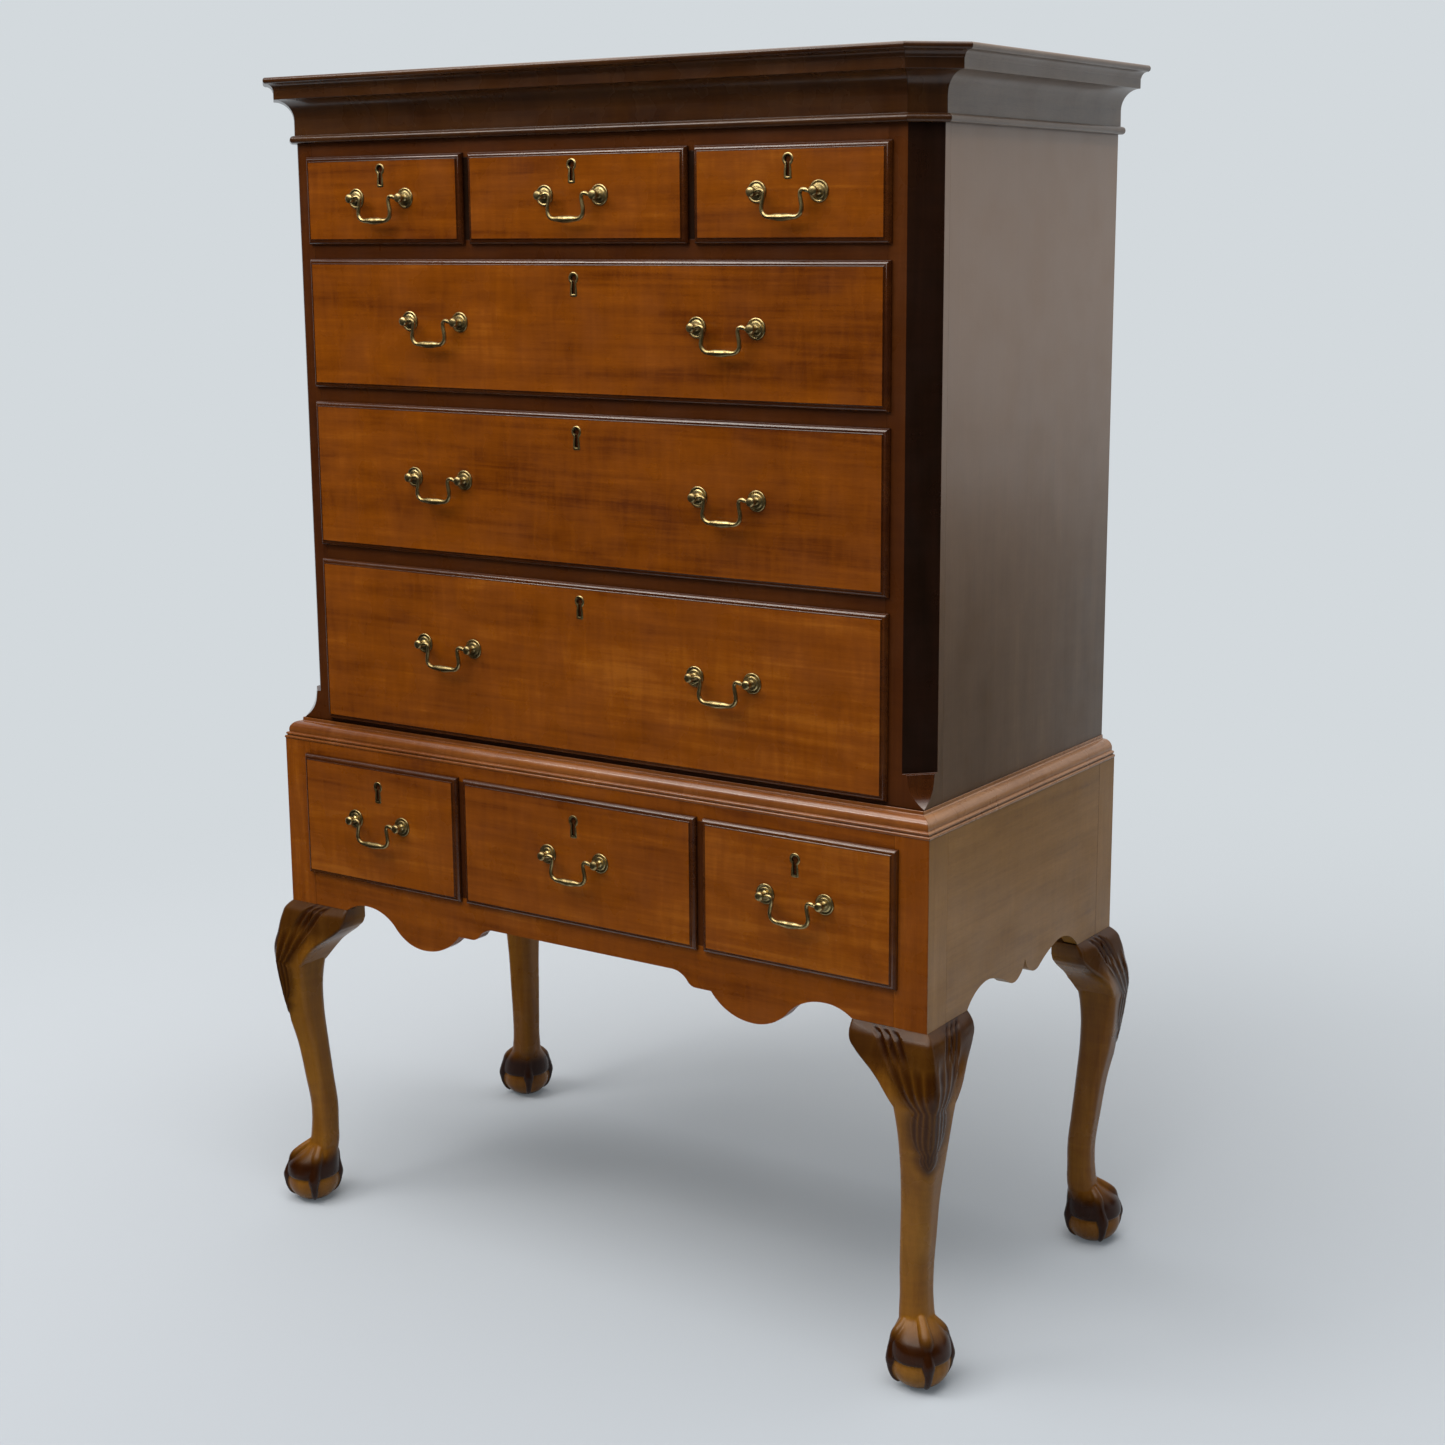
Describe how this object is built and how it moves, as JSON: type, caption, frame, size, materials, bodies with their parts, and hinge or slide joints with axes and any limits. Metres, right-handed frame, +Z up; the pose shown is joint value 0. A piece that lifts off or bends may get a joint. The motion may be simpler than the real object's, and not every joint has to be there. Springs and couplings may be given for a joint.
{
  "type": "highboy chest of drawers",
  "caption": "Tall chest of drawers with canted corners and a cornice, on a lower case with scalloped apron, cabriole legs and ball-and-claw feet; brass bail pulls.",
  "frame": {"origin": "on the floor under the middle of the whole piece, midway between the front and back feet", "axes": "+Z up, +X to the right of someone who faces the drawers, -Y towards that person (the drawers open along -Y)"},
  "size_m": [1.135, 0.595, 1.65],
  "materials": {
    "case_wood": "satin shellac over cherry",
    "front_wood": "satin shellac over cherry",
    "leg_wood": "satin shellac over carved cherry",
    "moulding_wood": "satin shellac over cherry",
    "secondary_wood": "bare pine and poplar, planed",
    "old_brass": "aged brass, dark in the hollows"
  },
  "bodies": {
    "case": {"upper_side_left": "case_wood", "upper_side_right": "case_wood", "upper_corner_posts": "case_wood", "upper_top": "secondary_wood", "upper_bottom": "secondary_wood", "upper_back_boards": "secondary_wood", "upper_drawer_dividers": "case_wood", "upper_drawer_runners": "secondary_wood", "cornice": "moulding_wood", "waist_moulding": "moulding_wood", "lower_side_left": "case_wood", "lower_side_right": "case_wood", "lower_back": "secondary_wood", "front_apron": "case_wood", "lower_drawer_dividers": "case_wood", "lower_drawer_runners": "secondary_wood", "front_left_leg": "leg_wood", "front_right_leg": "leg_wood", "back_left_leg": "leg_wood", "back_right_leg": "leg_wood", "knee_blocks": "leg_wood"},
    "upper_left_drawer": {"upper_left_front": "front_wood", "upper_left_box": "secondary_wood", "upper_left_hardware": "old_brass"},
    "upper_left_bail": {"upper_left_bail": "old_brass"},
    "upper_middle_drawer": {"upper_middle_front": "front_wood", "upper_middle_box": "secondary_wood", "upper_middle_hardware": "old_brass"},
    "upper_middle_bail": {"upper_middle_bail": "old_brass"},
    "upper_right_drawer": {"upper_right_front": "front_wood", "upper_right_box": "secondary_wood", "upper_right_hardware": "old_brass"},
    "upper_right_bail": {"upper_right_bail": "old_brass"},
    "top_long_drawer": {"top_long_front": "front_wood", "top_long_box": "secondary_wood", "top_long_hardware": "old_brass"},
    "top_long_left_bail": {"top_long_left_bail": "old_brass"},
    "top_long_right_bail": {"top_long_right_bail": "old_brass"},
    "middle_long_drawer": {"middle_long_front": "front_wood", "middle_long_box": "secondary_wood", "middle_long_hardware": "old_brass"},
    "middle_long_left_bail": {"middle_long_left_bail": "old_brass"},
    "middle_long_right_bail": {"middle_long_right_bail": "old_brass"},
    "bottom_long_drawer": {"bottom_long_front": "front_wood", "bottom_long_box": "secondary_wood", "bottom_long_hardware": "old_brass"},
    "bottom_long_left_bail": {"bottom_long_left_bail": "old_brass"},
    "bottom_long_right_bail": {"bottom_long_right_bail": "old_brass"},
    "lower_left_drawer": {"lower_left_front": "front_wood", "lower_left_box": "secondary_wood", "lower_left_hardware": "old_brass"},
    "lower_left_bail": {"lower_left_bail": "old_brass"},
    "lower_middle_drawer": {"lower_middle_front": "front_wood", "lower_middle_box": "secondary_wood", "lower_middle_hardware": "old_brass"},
    "lower_middle_bail": {"lower_middle_bail": "old_brass"},
    "lower_right_drawer": {"lower_right_front": "front_wood", "lower_right_box": "secondary_wood", "lower_right_hardware": "old_brass"},
    "lower_right_bail": {"lower_right_bail": "old_brass"}
  },
  "joints": [
    {"name": "upper_left_drawer_slide", "type": "slide", "parent": "case", "child": "upper_left_drawer", "axis": [0, -1, 0], "range_m": [0, 0.37]},
    {"name": "upper_left_bail_hinge", "type": "hinge", "parent": "upper_left_drawer", "child": "upper_left_bail", "pos_m": [-0.3254, -0.266, 1.48675], "axis": [-1, 0, 0], "range_deg": [-18, 196]},
    {"name": "upper_middle_drawer_slide", "type": "slide", "parent": "case", "child": "upper_middle_drawer", "axis": [0, -1, 0], "range_m": [0, 0.37]},
    {"name": "upper_middle_bail_hinge", "type": "hinge", "parent": "upper_middle_drawer", "child": "upper_middle_bail", "pos_m": [0, -0.266, 1.48675], "axis": [-1, 0, 0], "range_deg": [-18, 196]},
    {"name": "upper_right_drawer_slide", "type": "slide", "parent": "case", "child": "upper_right_drawer", "axis": [0, -1, 0], "range_m": [0, 0.37]},
    {"name": "upper_right_bail_hinge", "type": "hinge", "parent": "upper_right_drawer", "child": "upper_right_bail", "pos_m": [0.3254, -0.266, 1.48675], "axis": [-1, 0, 0], "range_deg": [-18, 196]},
    {"name": "top_long_drawer_slide", "type": "slide", "parent": "case", "child": "top_long_drawer", "axis": [0, -1, 0], "range_m": [0, 0.37]},
    {"name": "top_long_left_bail_hinge", "type": "hinge", "parent": "top_long_drawer", "child": "top_long_left_bail", "pos_m": [-0.23593, -0.266, 1.32375], "axis": [-1, 0, 0], "range_deg": [-18, 196]},
    {"name": "top_long_right_bail_hinge", "type": "hinge", "parent": "top_long_drawer", "child": "top_long_right_bail", "pos_m": [0.23593, -0.266, 1.32375], "axis": [-1, 0, 0], "range_deg": [-18, 196]},
    {"name": "middle_long_drawer_slide", "type": "slide", "parent": "case", "child": "middle_long_drawer", "axis": [0, -1, 0], "range_m": [0, 0.37]},
    {"name": "middle_long_left_bail_hinge", "type": "hinge", "parent": "middle_long_drawer", "child": "middle_long_left_bail", "pos_m": [-0.23593, -0.266, 1.113], "axis": [-1, 0, 0], "range_deg": [-18, 196]},
    {"name": "middle_long_right_bail_hinge", "type": "hinge", "parent": "middle_long_drawer", "child": "middle_long_right_bail", "pos_m": [0.23593, -0.266, 1.113], "axis": [-1, 0, 0], "range_deg": [-18, 196]},
    {"name": "bottom_long_drawer_slide", "type": "slide", "parent": "case", "child": "bottom_long_drawer", "axis": [0, -1, 0], "range_m": [0, 0.37]},
    {"name": "bottom_long_left_bail_hinge", "type": "hinge", "parent": "bottom_long_drawer", "child": "bottom_long_left_bail", "pos_m": [-0.22812, -0.266, 0.882], "axis": [-1, 0, 0], "range_deg": [-18, 196]},
    {"name": "bottom_long_right_bail_hinge", "type": "hinge", "parent": "bottom_long_drawer", "child": "bottom_long_right_bail", "pos_m": [0.22812, -0.266, 0.882], "axis": [-1, 0, 0], "range_deg": [-18, 196]},
    {"name": "lower_left_drawer_slide", "type": "slide", "parent": "case", "child": "lower_left_drawer", "axis": [0, -1, 0], "range_m": [0, 0.38]},
    {"name": "lower_left_bail_hinge", "type": "hinge", "parent": "lower_left_drawer", "child": "lower_left_bail", "pos_m": [-0.34985, -0.289, 0.6178], "axis": [-1, 0, 0], "range_deg": [-18, 196]},
    {"name": "lower_middle_drawer_slide", "type": "slide", "parent": "case", "child": "lower_middle_drawer", "axis": [0, -1, 0], "range_m": [0, 0.38]},
    {"name": "lower_middle_bail_hinge", "type": "hinge", "parent": "lower_middle_drawer", "child": "lower_middle_bail", "pos_m": [0, -0.289, 0.6178], "axis": [-1, 0, 0], "range_deg": [-18, 196]},
    {"name": "lower_right_drawer_slide", "type": "slide", "parent": "case", "child": "lower_right_drawer", "axis": [0, -1, 0], "range_m": [0, 0.38]},
    {"name": "lower_right_bail_hinge", "type": "hinge", "parent": "lower_right_drawer", "child": "lower_right_bail", "pos_m": [0.34985, -0.289, 0.6178], "axis": [-1, 0, 0], "range_deg": [-18, 196]}
  ]
}
